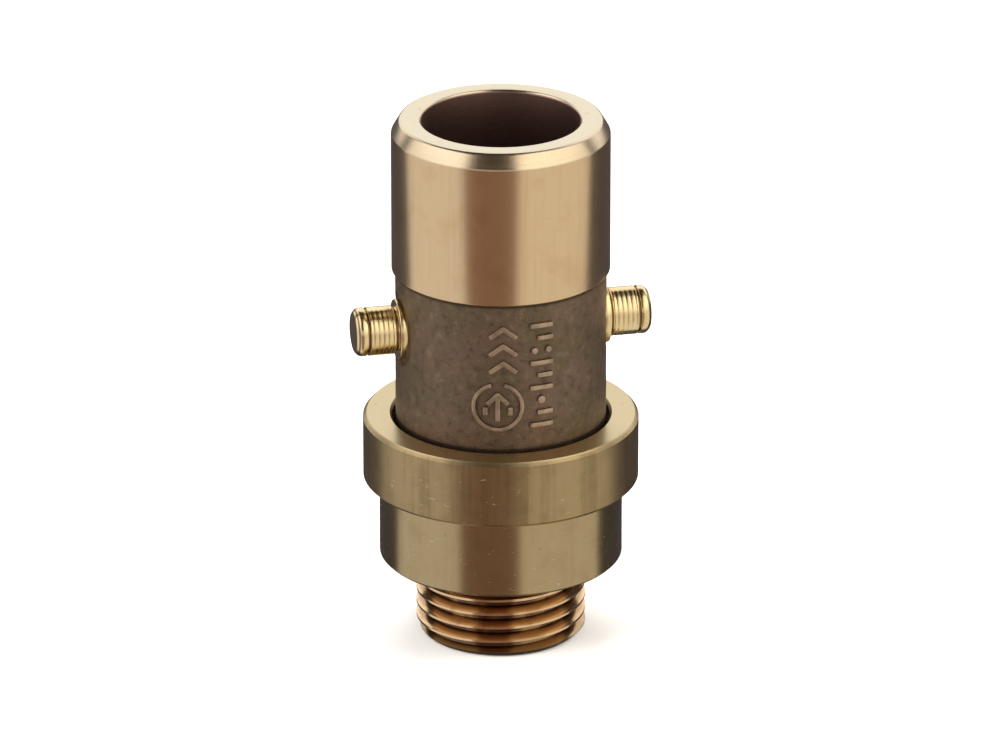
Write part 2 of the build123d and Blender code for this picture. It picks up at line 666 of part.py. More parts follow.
def guide_cage():
    """Spoked cage that guides the check disc's stem and takes its spring."""
    high = Z_CAGE + CAGE_THICKNESS
    cage = ring(CARTRIDGE_R, CARTRIDGE_R - CAGE_RIM, Z_CAGE, high) + disc(CAGE_HUB_D / 2, Z_CAGE, high)
    reach = CARTRIDGE_R - CAGE_RIM / 2
    spoke_align = (Align.MIN, Align.CENTER, Align.MIN)
    for n in range(CAGE_SPOKES):
        place = Rot(0, 0, 360 * (n + 0.5) / CAGE_SPOKES) * Pos(0, 0, Z_CAGE)
        cage += place * Box(reach, CAGE_SPOKE, CAGE_THICKNESS, align=spoke_align)
    return cage - disc(CHECK_STEM_D / 2 + RUNNING_CLEARANCE, Z_CAGE, high)


def retaining_ring():
    """Snap ring in the body's bore that holds the cage down."""
    outer = BORE_R + RETAINING_GROOVE_DEPTH - FACE_CLEARANCE
    return split_ring(outer, RETAINING_RING_WIDTH, Z_RETAINING_RING, RETAINING_RING_THICKNESS)


PIECES = {
    "inlet_hub": hub(),
    "inlet_strainer": strainer(),
    "strainer_snap_ring": strainer_ring(),
    "union_collar": union_collar(),
    "thrust_ring": thrust_ring(),
    "slip_washer": slip_washer(),
    "body_casting": body_casting(),
    "body_o_ring": o_ring(CHAMBER_R, TAIL_SEAL_SECTION, tail_seal_height()),
    "outlet_sleeve": outlet_sleeve(),
    "sleeve_o_ring": o_ring(sleeve_bore_radius(), SLEEVE_SEAL_SECTION, sleeve_seal_height()),
    "lug_left": lug(-1),
    "lug_right": lug(1),
    "seat_cartridge": seat_cartridge(),
    "cartridge_o_ring": o_ring(BORE_R, CARTRIDGE_SEAL_SECTION, cartridge_seal_height()),
    "nozzle": nozzle(),
    "float_lever": float_lever(),
    "lever_pivot_pin": cross_pin(PIVOT_X, Z_PIVOT, PIVOT_PIN_D),
    "valve_pad": valve_pad(),
    "float_cup": float_cup(),
    "float_lid": float_lid(),
    "float_link_pin": cross_pin(LINK_X, Z_LINK, LINK_PIN_D),
    "check_seal": check_seal(),
    "check_disc": check_disc(),
    "check_spring": check_spring(),
    "spacer_tube": spacer_tube(),
    "guide_cage": guide_cage(),
    "retaining_snap_ring": retaining_ring(),
}

os.makedirs("parts", exist_ok=True)
for name, shape in PIECES.items():
    export_step(shape, f"parts/{name}.step")
print("lever swing in degrees", round(LEVER_REST_ANGLE, 4))
print("collar turns", COLLAR_RISE / UNION_PITCH)
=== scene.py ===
import math

import bpy
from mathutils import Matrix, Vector


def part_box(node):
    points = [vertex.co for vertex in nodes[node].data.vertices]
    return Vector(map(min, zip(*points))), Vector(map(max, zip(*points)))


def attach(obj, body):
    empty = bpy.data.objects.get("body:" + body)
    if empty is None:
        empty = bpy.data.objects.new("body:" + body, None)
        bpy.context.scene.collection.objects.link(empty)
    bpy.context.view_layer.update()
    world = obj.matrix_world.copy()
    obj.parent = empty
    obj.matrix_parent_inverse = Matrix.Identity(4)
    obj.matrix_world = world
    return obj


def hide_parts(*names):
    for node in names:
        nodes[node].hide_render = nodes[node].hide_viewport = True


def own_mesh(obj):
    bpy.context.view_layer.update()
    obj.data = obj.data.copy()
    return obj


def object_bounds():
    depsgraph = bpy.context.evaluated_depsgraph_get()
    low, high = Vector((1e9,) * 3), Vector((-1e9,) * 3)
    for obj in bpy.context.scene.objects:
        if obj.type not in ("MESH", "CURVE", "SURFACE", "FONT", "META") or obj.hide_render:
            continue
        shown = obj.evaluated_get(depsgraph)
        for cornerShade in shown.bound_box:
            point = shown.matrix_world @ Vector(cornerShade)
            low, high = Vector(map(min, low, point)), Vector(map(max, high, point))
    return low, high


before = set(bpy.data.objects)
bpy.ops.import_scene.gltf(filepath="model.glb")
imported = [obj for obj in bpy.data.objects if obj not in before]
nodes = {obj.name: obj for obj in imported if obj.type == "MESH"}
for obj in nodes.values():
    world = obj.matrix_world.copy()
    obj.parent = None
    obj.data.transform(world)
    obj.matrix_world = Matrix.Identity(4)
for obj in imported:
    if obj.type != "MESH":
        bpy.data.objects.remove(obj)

mm = 0.001
lugAxis = 40.7  # height of the lugs' axis, in mm
cadBox = [list(cornerShade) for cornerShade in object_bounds()]
bpy.ops.object.select_all(action="DESELECT")


# a socket that can be used in sums: each operator adds a Math node
class Link:
    def __init__(self, bench, socket):
        self.bench = bench
        self.socket = socket

    def maths(self, operation, first, second=0.0):
        return self.bench.node("ShaderNodeMath", {"operation": operation}, {0: first, 1: second})

    def __add__(self, other):
        return self.maths("ADD", self, other)

    __radd__ = __add__

    def __sub__(self, other):
        return self.maths("SUBTRACT", self, other)

    def __rsub__(self, other):
        return self.maths("SUBTRACT", other, self)

    def __mul__(self, other):
        return self.maths("MULTIPLY", self, other)

    __rmul__ = __mul__

    def __pow__(self, other):
        return self.maths("POWER", self, other)

    def larger(self, other):
        return self.maths("MAXIMUM", self, other)

    def smaller(self, other):
        return self.maths("MINIMUM", self, other)

    # 0 at low, 1 at high, smooth between them
    def rise(self, low, high):
        span = {"From Min": low, "From Max": high, "Value": self}
        return self.bench.node("ShaderNodeMapRange", {"interpolation_type": "SMOOTHSTEP"}, span)

    # 1 between low and high, with soft ends
    def between(self, low, high, soft):
        return self.rise(low - soft, low) * (1 - self.rise(high, high + soft))


# the nodes of one material, or of the world
class Bench:
    def __init__(self, tree):
        self.tree = tree

    def node(self, kind, settings=None, values=None, output=0):
        made = self.tree.nodes.new(kind)
        for key, value in (settings or {}).items():
            setattr(made, key, value)
        for key, value in (values or {}).items():
            if isinstance(value, Link):
                self.tree.links.new(value.socket, made.inputs[key])
            else:
                made.inputs[key].default_value = value
        return Link(self, made.outputs[output])

    # from the first colour to the second by amount
    def mix(self, amount, first, second):
        colours = [value if isinstance(value, Link) else (*value, 1) for value in (first, second)]
        settings = {"data_type": "RGBA", "blend_type": "MIX"}
        return self.node("ShaderNodeMix", settings, {0: amount, 6: colours[0], 7: colours[1]}, 2)

    # the place on the piece in millimetres, and its three parts
    def place(self, centre=(0, 0, 0)):
        coordinates = self.node("ShaderNodeTexCoord", output=3)
        scaled = self.node("ShaderNodeMapping", None, {
            "Vector": coordinates,
            "Location": tuple(-value for value in centre),
            "Scale": (1 / mm, 1 / mm, 1 / mm),
        })
        parts = self.tree.nodes.new("ShaderNodeSeparateXYZ")
        self.tree.links.new(scaled.socket, parts.inputs[0])
        return scaled, [Link(self, out) for out in parts.outputs]

    def vector(self, x, y, z):
        return self.node("ShaderNodeCombineXYZ", None, {0: x, 1: y, 2: z})

    def noise(self, vector, scale, detail=4.0, roughness=0.55, distortion=0.0):
        return self.node("ShaderNodeTexNoise", None, {
            "Vector": vector, "Scale": scale, "Detail": detail, "Roughness": roughness,
            "Distortion": distortion,
        })

    def cells(self, vector, scale):
        return self.node("ShaderNodeTexVoronoi", None, {"Vector": vector, "Scale": scale})

    # relief: height runs from 0 to 1, depth is in mm
    def bump(self, height, depth):
        values = {"Height": height, "Distance": depth * mm, "Strength": 1.0}
        return self.node("ShaderNodeBump", None, values)


# one material, with what goes into its shader
class Finish(Bench):
    def __init__(self, name):
        self.material = bpy.data.materials.new(name)
        self.material.use_nodes = True
        super().__init__(self.material.node_tree)
        self.shader = self.tree.nodes["Principled BSDF"]

    def put(self, **sockets):
        for key, value in sockets.items():
            socket = self.shader.inputs[key.replace("_", " ")]
            if isinstance(value, Link):
                self.tree.links.new(value.socket, socket)
            else:
                socket.default_value = value


# fine lines left by a lathe tool, round the axis, on walls and faces alike
def turningLines(bench, along, out, closeness):
    across = bench.vector(0.0, 0.0, (along + out * 1.37) * closeness)
    return bench.noise(across, 1.0, 3.0, 0.6)


# rim: paler, creamier colour on the rim and its chamfer, a painted highlight; inside: painted shade in
# the mouth's bore
sleeveLook = {
    "pale": (0.83, 0.61, 0.37), "deep": (0.72, 0.48, 0.27), "inside": (0.29, 0.18, 0.155),
    "rim": (0.78, 0.69, 0.52), "rimHeight": 1.8, "roughness": 0.145, "mouthRadius": 9.75,
    "clouds": 0.22, "lines": 9.0, "relief": 0.008,
}


# polished, with long streaks along the axis, broken tool lines round it, a painted highlight on the rim
# and its chamfer, and painted shade in the mouth
def sleeveFinish():
    look = sleeveLook
    bench = Finish("sleeveBrass")
    place, (x, y, z) = bench.place()
    out = (x * x + y * y) ** 0.5
    streaks = bench.noise(bench.vector(x * 2.2, y * 2.2, z * 0.06), 1.0, 4.0)
    lines = turningLines(bench, z, out, look["lines"])
    clouds = bench.noise(place, look["clouds"], 3.0)
    tarnish = clouds.rise(0.5, 0.72) * 0.45 + streaks.rise(0.45, 0.75) * 0.25
    wall = bench.mix(tarnish, look["pale"], look["deep"])
    # the bore inside the mouth is painted dark: painted shade in its depth
    inside = 1 - out.rise(look["mouthRadius"], look["mouthRadius"] + 0.12)
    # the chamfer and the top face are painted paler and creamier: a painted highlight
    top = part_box("outlet_sleeve")[1][2] / mm
    chamfer = top - look["rimHeight"]
    faces = z.rise(chamfer - 0.1, chamfer) * 0.5 + z.rise(top - 0.15, top - 0.05) * 0.5
    wall = bench.mix(faces, wall, look["rim"])
    colour = bench.mix(inside, wall, look["inside"])
    rough = look["roughness"] + lines * 0.10 + streaks * 0.08 + inside * 0.2
    broken = bench.noise(bench.vector(x * 0.5, y * 0.5, z * 9.0), 1.0, 3.0)
    colour = bench.mix(broken.rise(0.58, 0.72) * 0.3, colour, look["deep"])
    normal = bench.bump(lines * 0.4 + broken * 0.6, look["relief"])
    bench.put(Base_Color=colour, Metallic=1.0, Roughness=rough, Normal=normal)
    return bench.material


# dirt colour: random dark blotches of dirt, and painted shade round the marks and in the corners; rubbed
# colour: worn patches, and a painted highlight on the marks' tops
castLook = {
    "brown": (0.225, 0.151, 0.104), "olive": (0.183, 0.138, 0.082), "violet": (0.225, 0.146, 0.118),
    "rubbedAndHighlight": (0.56, 0.41, 0.29), "bore": (0.34, 0.23, 0.14), "dirtAndShade": (0.035, 0.022, 0.018),
    "roughness": 0.44, "barrel": 13.0, "low": 28.7, "high": 47.7, "boreRadius": 12.0,
    "broad": 0.16, "middle": 0.7, "blotch": 1.0, "sand": 5.5, "pits": 2.3, "relief": 0.14,
}


# sand-cast: mottled skin, painted shade round the raised marks and in the corners, tops of the marks
# rubbed and painted paler as a painted highlight
def castFinish():
    look = castLook
    bench = Finish("castBrass")
    place, (x, y, z) = bench.place()
    out = (x * x + y * y) ** 0.5
    broad = bench.noise(place, look["broad"], 3.0)
    middle = bench.noise(place, look["middle"], 4.0)
    sand = bench.noise(place, look["sand"], 4.0, 0.65)
    pits = bench.cells(place, look["pits"])
    skin = bench.mix(broad.rise(0.4, 0.62), look["brown"], look["olive"])
    skin = bench.mix(middle.rise(0.52, 0.7) * 0.7, skin, look["violet"])
    blotch = bench.noise(place, look["blotch"], 4.0, 0.55, 0.3)
    skin = bench.mix(blotch.rise(0.52, 0.72) * 0.38, skin, look["dirtAndShade"])
    skin = bench.mix((1 - blotch.rise(0.3, 0.46)) * 0.16, skin, look["rubbedAndHighlight"])
    # painted shade on the flanks of the raised marks
    flankShade = out.between(look["barrel"] + 0.03, look["barrel"] + 0.12, 0.02)
    skin = bench.mix(flankShade * 0.75, skin, look["dirtAndShade"])
    # the tops of the raised marks: rubbed smoother, and painted paler as a painted highlight
    rubbedAndHighlight = out.rise(look["barrel"] + 0.14, look["barrel"] + 0.24)
    skin = bench.mix(rubbedAndHighlight * (0.45 + middle.rise(0.4, 0.6) * 0.4), skin, look["rubbedAndHighlight"])
    # painted shade just above the collar and under the sleeve's lower edge
    lowCornerShade = 1 - z.rise(look["low"], look["low"] + 0.5)
    cornerShade = lowCornerShade.larger(z.rise(look["high"] - 0.55, look["high"] - 0.05))
    skin = bench.mix(cornerShade * 0.85, skin, look["dirtAndShade"])
    inner = 1 - out.rise(look["boreRadius"], look["boreRadius"] + 0.3)
    colour = bench.mix(inner * 0.8, skin, look["bore"])
    rough = look["roughness"] + sand * 0.16 - rubbedAndHighlight * 0.14
    height = sand * 0.5 + middle * 0.5 + pits.rise(0.0, 0.3) * 0.25
    normal = bench.bump(height, look["relief"])
    bench.put(Base_Color=colour, Metallic=0.92, Roughness=rough, Normal=normal)
    return bench.material


# pale and deep are darker than the sleeve's brass: painted shade, standing in for the shaded floor these
# low pieces reflect
hubLook = {
    "pale": (0.51, 0.39, 0.215), "deep": (0.42, 0.30, 0.16), "roughness": 0.12,
    "streaks": 0.3, "wall": 14.0, "pits": 1.0, "copper": (0.52, 0.33, 0.165),
    "crest": (0.90, 0.63, 0.38), "groove": (0.14, 0.067, 0.038), "end": (0.31, 0.24, 0.14),
    "spigotTop": 9.9, "threadRadii": (9.35, 9.9, 10.4), "endHeights": (0.7, 1.5),
}
collarLook = {
    "pale": (0.46, 0.34, 0.18), "deep": (0.30, 0.215, 0.11), "roughness": 0.25,
    "streaks": 0.6, "wall": 16.4, "pits": 0.5, "face": (0.74, 0.61, 0.36),
}
wearLook = {
    "scuff": (0.93, 0.82, 0.6), "pit": (0.22, 0.15, 0.09),
    "clouds": 0.3, "worn": 0.22, "lines": 7.0, "relief": 0.014,
}


# the hub and the collar: machined, with scuffs and pits, and coppery on the spigot's thread; painted
# shade makes their brass darker and fills the thread's roots, and painted highlights pale the thread's
# crests and the collar's top face
def turnedFinish(name, look):
    bench = Finish(name)
    place, (x, y, z) = bench.place()
    out = (x * x + y * y) ** 0.5
    wall = out.rise(look["wall"], look["wall"] + 0.4)
    wide = bench.noise(bench.vector(x * 0.42, y * 0.42, z * 0.02), 1.0, 2.0)
    fine = bench.noise(bench.vector(x * 1.6, y * 1.6, z * 0.07), 1.0, 4.0)
    streaks = (wide * 0.6 + fine * 0.4) * wall
    lines = turningLines(bench, z, out, wearLook["lines"])
    clouds = bench.noise(place, wearLook["clouds"], 4.0)
    worn = bench.noise(place, wearLook["worn"], 2.0)
    slanted = bench.vector(x * 0.7 + z * 0.5, y * 0.7, z * 2.6 - x * 0.6)
    scuffs = bench.noise(slanted, 1.0, 3.0, 0.6, 0.6).rise(0.66, 0.72) * worn.rise(0.44, 0.56)
    specks = bench.noise(place, 1.7, 3.0, 0.6, 0.5)
    pits = specks.rise(0.67, 0.74) * (1 - worn.rise(0.42, 0.54)) * look["pits"]
    tarnish = clouds.rise(0.45, 0.7) * 0.4 + streaks.rise(0.45, 0.65) * look["streaks"]
    colour = bench.mix(tarnish.smaller(1.0), look["pale"], look["deep"])
    # the collar's top face is painted paler and creamier: a painted highlight
    if "face" in look:
        colour = bench.mix((1 - wall) * 0.8, colour, look["face"])
    colour = bench.mix(scuffs * 0.6, colour, wearLook["scuff"])
    colour = bench.mix(pits * 0.7, colour, wearLook["pit"])
    rough = look["roughness"] + lines * 0.08 + streaks * 0.1 + scuffs * 0.15
    if "copper" in look:
        root, middle, crest = look["threadRadii"]
        spigot = 1 - z.rise(look["spigotTop"], look["spigotTop"] + 0.4)
        # painted shade in the thread's roots and a painted highlight on its crests
        wound = bench.mix(out.rise(root, middle), look["groove"], look["copper"])
        wound = bench.mix(out.rise(middle, crest), wound, look["crest"])
        wound = bench.mix(clouds.rise(0.45, 0.65) * 0.6, wound, look["copper"])
        wound = bench.mix((1 - z.rise(*look["endHeights"])) * 0.8, wound, look["end"])
        colour = bench.mix(spigot, colour, wound)
    normal = bench.bump(lines * 0.5 + streaks * 0.5 - scuffs * 0.6 - pits, wearLook["relief"])
    bench.put(Base_Color=colour, Metallic=1.0, Roughness=rough, Normal=normal)
    return bench.material


lugLook = {
    "pale": (0.96, 0.78, 0.44), "deep": (0.86, 0.60, 0.30), "groove": (0.16, 0.09, 0.05),
    "roughness": 0.14, "pinStart": 13.3, "grooveRadii": (2.6, 2.75, 2.8, 2.93), "relief": 0.012,
}


# bright, with painted shade in the grooves of the pin
def lugFinish():
    look = lugLook
    bench = Finish("lugBrass")
    place, (x, y, z) = bench.place((0, 0, lugAxis))
    out = (y * y + z * z) ** 0.5
    lines = turningLines(bench, x, out, 6.0)
    clouds = bench.noise(place, 0.6, 3.0)
    tarnish = clouds.rise(0.45, 0.7) * 0.5 + lines.rise(0.5, 0.75) * 0.3
    colour = bench.mix(tarnish, look["pale"], look["deep"])
    pinPart = (x.maths("ABSOLUTE", x) - look["pinStart"]).rise(0.0, 0.05)
    floor, floorEdge, wallEdge, wall = look["grooveRadii"]
    # painted shade: the pin's grooves are painted dark
    grooveShade = (1 - out.rise(wallEdge, wall)) * pinPart * out.rise(floor, floorEdge)
    colour = bench.mix(grooveShade * 0.9, colour, look["groove"])
    rough = look["roughness"] + lines * 0.1
    bench.put(Base_Color=colour, Metallic=1.0, Roughness=rough, Normal=bench.bump(lines, look["relief"]))
    return bench.material


# metal inside the vent: steel, or the cartridge's brass
def innerMetal(name, pale, deep, roughness):
    bench = Finish(name)
    place, (x, y, z) = bench.place()
    out = (x * x + y * y) ** 0.5
    lines = turningLines(bench, z, out, 8.0)
    clouds = bench.noise(place, 0.5, 3.0)
    colour = bench.mix(clouds.rise(0.4, 0.7), pale, deep)
    rough = roughness + lines * 0.12
    bench.put(Base_Color=colour, Metallic=1.0, Roughness=rough, Normal=bench.bump(lines, 0.01))
    return bench.material


# moulded plastic or rubber: fine grain, a little wear
def moulded(name, pale, deep, roughness, grain):
    bench = Finish(name)
    place = bench.place()[0]
    clouds = bench.noise(place, 0.4, 3.0)
    fine = bench.noise(place, 7.0, 3.0, 0.6)
    colour = bench.mix(clouds.rise(0.4, 0.65), pale, deep)
    bench.put(Base_Color=colour, Roughness=roughness + fine * 0.15, Normal=bench.bump(fine, grain))
    return bench.material


finishes = {
    "sleeve_brass": sleeveFinish(),
    "cast_brass": castFinish(),
    "turned_brass": turnedFinish("hubBrass", hubLook),
    "lug_brass": lugFinish(),
    "cartridge_brass": innerMetal("cartridgeBrass", (0.72, 0.52, 0.26), (0.55, 0.38, 0.18), 0.3),
    "stainless": innerMetal("stainlessSteel", (0.60, 0.59, 0.57), (0.42, 0.41, 0.40), 0.25),
    "rubber": moulded("blackRubber", (0.022, 0.022, 0.024), (0.035, 0.034, 0.034), 0.55, 0.02),
    "float_plastic": moulded("floatPlastic", (0.78, 0.76, 0.70), (0.70, 0.67, 0.60), 0.4, 0.012),
    "guide_plastic": moulded("guidePlastic", (0.05, 0.05, 0.055), (0.075, 0.072, 0.07), 0.42, 0.015),
    "slip_plastic": moulded("slipPlastic", (0.85, 0.84, 0.80), (0.76, 0.74, 0.70), 0.35, 0.01),
}
collarFinish = turnedFinish("collarBrass", collarLook)
print("finishes", len(finishes) + 1)

cameraLook = {
    "azimuth": -12.5, "elevation": 22.2, "distance": 1.06, "lens": 310.3, "sensor": 36,
    "aim": (-0.1, 0.0, 34.4),  # in mm
}


def placeCamera():
    a, e = math.radians(cameraLook["azimuth"]), math.radians(cameraLook["elevation"])
    back = Vector((math.sin(a) * math.cos(e), -math.cos(a) * math.cos(e), math.sin(e)))
    aim = Vector(cameraLook["aim"]) * mm
    bpy.ops.object.camera_add(location=aim + back * cameraLook["distance"])
    camera = bpy.context.object
    camera.rotation_euler = (-back).to_track_quat("-Z", "Y").to_euler()
    camera.data.lens = cameraLook["lens"]
    camera.data.sensor_width = cameraLook["sensor"]
    bpy.context.scene.camera = camera
    print("camera placed")


placeCamera()

# walls: where each stands round the object, in degrees, 0 at the front and right of it positive
# bands: how high each starts and ends, as the sine of its elevation; soft: how far the edges blur
roomLook = {
    "front": (-33, 13), "frontSoft": 20, "left": (-113, -41), "right": (20, 104), "soft": 4,
    "rearWall": (-120, 110), "rearBand": (0.12, 0.72), "rearSoft": (15, 0.14),
    "panelWall": (-70, 60), "panelBand": (0.10, 0.38), "panelSoft": (12, 0.06), "panelDip": 0.45,
    "strip": (-0.42, 0.2), "stripSoft": 0.06, "stripLow": (0.44, 0.54), "stripBack": (-0.75, -0.6),
    "sideRise": (0.0, 0.6), "overheadLow": (0.80, 0.93),
    "low": 0.72, "high": 1.4, "rear": 1.12, "panel": 0.8, "overhead": 0.45, "backdrop": 1.0,
    "gap": (0.235, 0.155, 0.12), "corners": (0.08, 0.074, 0.083), "shade": (0.03, 0.021, 0.014),
    "white": (1.0, 0.985, 0.96), "warm": (1.0, 0.955, 0.86),
}


# the studio's room: two wide light walls with a dark gap between them at the front, a low panel
# across the front, a dark strip over it, and light behind and overhead
def lightRoom():
    look = roomLook
    world = bpy.data.worlds.new("studioRoom")
    bpy.context.scene.world = world
    world.use_nodes = True
    bench = Bench(world.node_tree)
    a = math.radians(cameraLook["azimuth"])
    direction = bench.node("ShaderNodeTexCoord")
    toRight, toFront, height = [
        bench.node("ShaderNodeVectorMath", {"operation": "DOT_PRODUCT"}, {0: direction, 1: axis}, 1)
        for axis in ((math.cos(a), math.sin(a), 0), (math.sin(a), -math.cos(a), 0), (0, 0, 1))
    ]
    around = toRight.maths("ARCTAN2", toRight, toFront) * (180 / math.pi)
    right = around.between(*look["right"], look["soft"])
    sides = around.between(*look["left"], look["soft"]) + right
    lift = height.rise(*look["sideRise"]) * (look["high"] - look["low"])
    sideLevel = sides * (look["low"] + lift)
    strip = toRight.between(*look["strip"], look["stripSoft"]) * height.rise(*look["stripLow"])
    strip = strip * toFront.rise(*look["stripBack"])
    gap = around.between(*look["front"], look["frontSoft"])
    acrossSoft, upSoft = look["panelSoft"]
    panel = around.between(*look["panelWall"], acrossSoft) * height.between(*look["panelBand"], upSoft)
    panel = panel * (1 - gap * look["panelDip"]) * look["panel"]
    overhead = height.rise(*look["overheadLow"]) * look["overhead"]
    acrossSoft, upSoft = look["rearSoft"]
    behind = 1 - around.between(*look["rearWall"], acrossSoft)
    rear = behind * height.between(*look["rearBand"], upSoft) * look["rear"]
    level = sideLevel.larger(rear).larger(panel).larger(overhead) * (1 - strip)
    dark = bench.mix(strip, bench.mix(gap, look["corners"], look["gap"]), look["shade"])
    light = bench.mix(right, look["white"], look["warm"])
    colour = bench.mix(level.smaller(1.0), dark, light)
    seen = bench.node("ShaderNodeLightPath")
    colour = bench.mix(seen, colour, (look["backdrop"],) * 3)
    strength = level.larger(1.0) * (1 - seen) + seen
    background = world.node_tree.nodes["Background"]
    world.node_tree.links.new(colour.socket, background.inputs[0])
    world.node_tree.links.new(strength.socket, background.inputs[1])
    print("room lit")


lightRoom()

floorLook = {"size": 1.6, "colour": (0.90, 0.89, 0.87)}


def layFloor():
    bpy.ops.mesh.primitive_plane_add(size=floorLook["size"], location=(0, 0, cadBox[0][2]))
    floor = bpy.context.object
    floor.name = "studioFloor"
    bench = Finish("paleFloor")
    bench.put(Base_Color=(*floorLook["colour"], 1), Roughness=0.9)
    floor.data.materials.append(bench.material)
    floor.visible_glossy = False
    print("floor laid")


layFloor()

# each light: place and aim in metres, size in metres, power in watts
lightLooks = {
    "keyLeft": {"place": (-0.55, -0.35, 0.75), "size": 0.5, "power": 7},
    "fillRight": {"place": (0.6, -0.3, 0.6), "size": 0.5, "power": 5},
    "topBack": {"place": (0.05, 0.5, 0.8), "size": 0.6, "power": 5},
}
lampAim = Vector((0, 0, 0.03))
for name, look in lightLooks.items():
    bpy.ops.object.light_add(type="AREA", location=look["place"])
    lamp = bpy.context.object
    lamp.name = name
    lamp.data.size = look["size"]
    lamp.data.energy = look["power"]
    lamp.rotation_euler = (lampAim - Vector(look["place"])).to_track_quat("-Z", "Y").to_euler()
    lamp.visible_glossy = False
print("lamps", len(lightLooks))

for name, item in nodes.items():
    holder = item.material_slots[0]
    key = next(slot for slot in finishes if slot in holder.material.name)
    holder.material = collarFinish if name == "union_collar" else finishes[key]
print("CAD nodes finished", len(nodes))


# selects the edges or faces of a piece that pass a test on the places of their points, in mm
def pick(piece, kind, test):
    bpy.ops.object.mode_set(mode="EDIT")
    bpy.ops.mesh.select_mode(type=kind)
    bpy.ops.mesh.select_all(action="DESELECT")
    bpy.ops.object.mode_set(mode="OBJECT")
    mesh = piece.data
    places = [vertex.co / mm for vertex in mesh.vertices]
    for part in (mesh.edges if kind == "EDGE" else mesh.polygons):
        part.select = all(test(places[index]) for index in part.vertices)
    bpy.ops.object.mode_set(mode="EDIT")


# a test for the ring of points at a radius and a height, in mm
def closeTo(radius, height, slack=0.01):
    return lambda place: (
        abs(math.hypot(place.x, place.y) - radius) < slack and abs(place.z - height) < slack)


# a turned piece, as on a lathe: a ring of points is carried along (radius, height) corners in mm,
# back to its start for a tube, or capped at both ends
def turn(name, profile, segments, capped=False):
    bpy.ops.object.select_all(action="DESELECT")
    radius, height = profile[0]
    bpy.ops.mesh.primitive_circle_add(
        vertices=segments, radius=radius * mm, location=(0, 0, height * mm))
    piece = bpy.context.object
    piece.name = piece.data.name = name
    bpy.ops.object.transform_apply(location=True, rotation=True, scale=True)
    bpy.ops.object.mode_set(mode="EDIT")
    bpy.ops.mesh.select_all(action="SELECT")
    if capped:
        bpy.ops.mesh.edge_face_add()
    corners = profile if capped else profile + [profile[0]]
    for (fromRadius, fromHeight), (toRadius, toHeight) in zip(corners, corners[1:]):
        step = (0, 0, (toHeight - fromHeight) * mm)
        bpy.ops.mesh.extrude_region_move(TRANSFORM_OT_translate={"value": step})
        growth = toRadius / fromRadius
        if growth != 1:
            bpy.ops.transform.resize(value=(growth, growth, 1), center_override=(0, 0, 0))
    bpy.ops.mesh.select_all(action="SELECT")
    bpy.ops.mesh.remove_doubles(threshold=1e-7)
    bpy.ops.mesh.normals_make_consistent(inside=False)
    bpy.ops.object.mode_set(mode="OBJECT")
    return piece


# rounds the turned corner at a radius and a height
def roundRing(piece, radius, height, width, segments=5):
    pick(piece, "EDGE", closeTo(radius, height))
    bpy.ops.mesh.bevel(offset=width * mm, segments=segments, affect="EDGES")
    bpy.ops.object.mode_set(mode="OBJECT")


# adds a modifier and applies it
def applied(piece, kind, **settings):
    bpy.context.view_layer.objects.active = piece
    modifier = piece.modifiers.new(kind.lower(), kind)
    for key, value in settings.items():
        setattr(modifier, key, value)
    bpy.ops.object.modifier_apply(modifier=modifier.name)


edgeLook = {"broken": 28, "smooth": 24}  # angles, in degrees


# breaks the sharp edges, shades smooth, gives the piece its body and finish, and hides the CAD nodes it
# replaces
def finishPiece(piece, body, slot, replaced=(), edge=0.05):
    bpy.ops.object.select_all(action="DESELECT")
    piece.select_set(True)
    bpy.context.view_layer.objects.active = piece
    if edge:
        applied(piece, "BEVEL", width=edge * mm, segments=2, limit_method="ANGLE",
                angle_limit=math.radians(edgeLook["broken"]))
    bpy.ops.object.shade_smooth_by_angle(angle=math.radians(edgeLook["smooth"]))
    piece.data.materials.clear()
    piece.data.materials.append(finishes[slot])
    if replaced:
        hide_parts(*replaced)
    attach(piece, body)
    piece.select_set(False)
    print("made", piece.name, len(piece.data.polygons), "faces")


# a CAD node's lowest and highest height, and how far it reaches to the right, in mm
def heights(node):
    low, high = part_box(node)
    return low[2] / mm, high[2] / mm, high[0] / mm


sleeveShape = {
    "bore": 11.85, "mouth": 9.7, "step": 57.8, "chamfer": (1.05, 1.8), "rimRound": 0.16,
    "mouthChamfer": 0.3, "mouthRound": 0.08, "lowerChamfer": 0.25, "segments": 224,
}


# the sleeve: a wide bore below the step, the mouth above it, and a steep chamfer to the rim
def makeSleeve():
    look = sleeveShape
    low, top, outer = heights("outlet_sleeve")
    shoulder = (outer, top - look["chamfer"][1])
    rim = (outer - look["chamfer"][0], top)
    profile = [
        (look["bore"], low),
        (outer - look["lowerChamfer"], low),
        (outer, low + look["lowerChamfer"]),
        shoulder,
        rim,
        (look["mouth"] + look["mouthChamfer"], top),
        (look["mouth"], top - look["mouthChamfer"]),
        (look["mouth"], look["step"]),
        (look["bore"], look["step"]),
    ]
    sleeve = turn("outletSleeve", profile, look["segments"])
    roundRing(sleeve, *shoulder, look["rimRound"])
    roundRing(sleeve, *rim, look["rimRound"] * 2, 8)
    roundRing(sleeve, look["mouth"] + look["mouthChamfer"], top, look["mouthRound"], 3)
    finishPiece(sleeve, "upper_body", "sleeve_brass", ["outlet_sleeve"], edge=0.04)


makeSleeve()

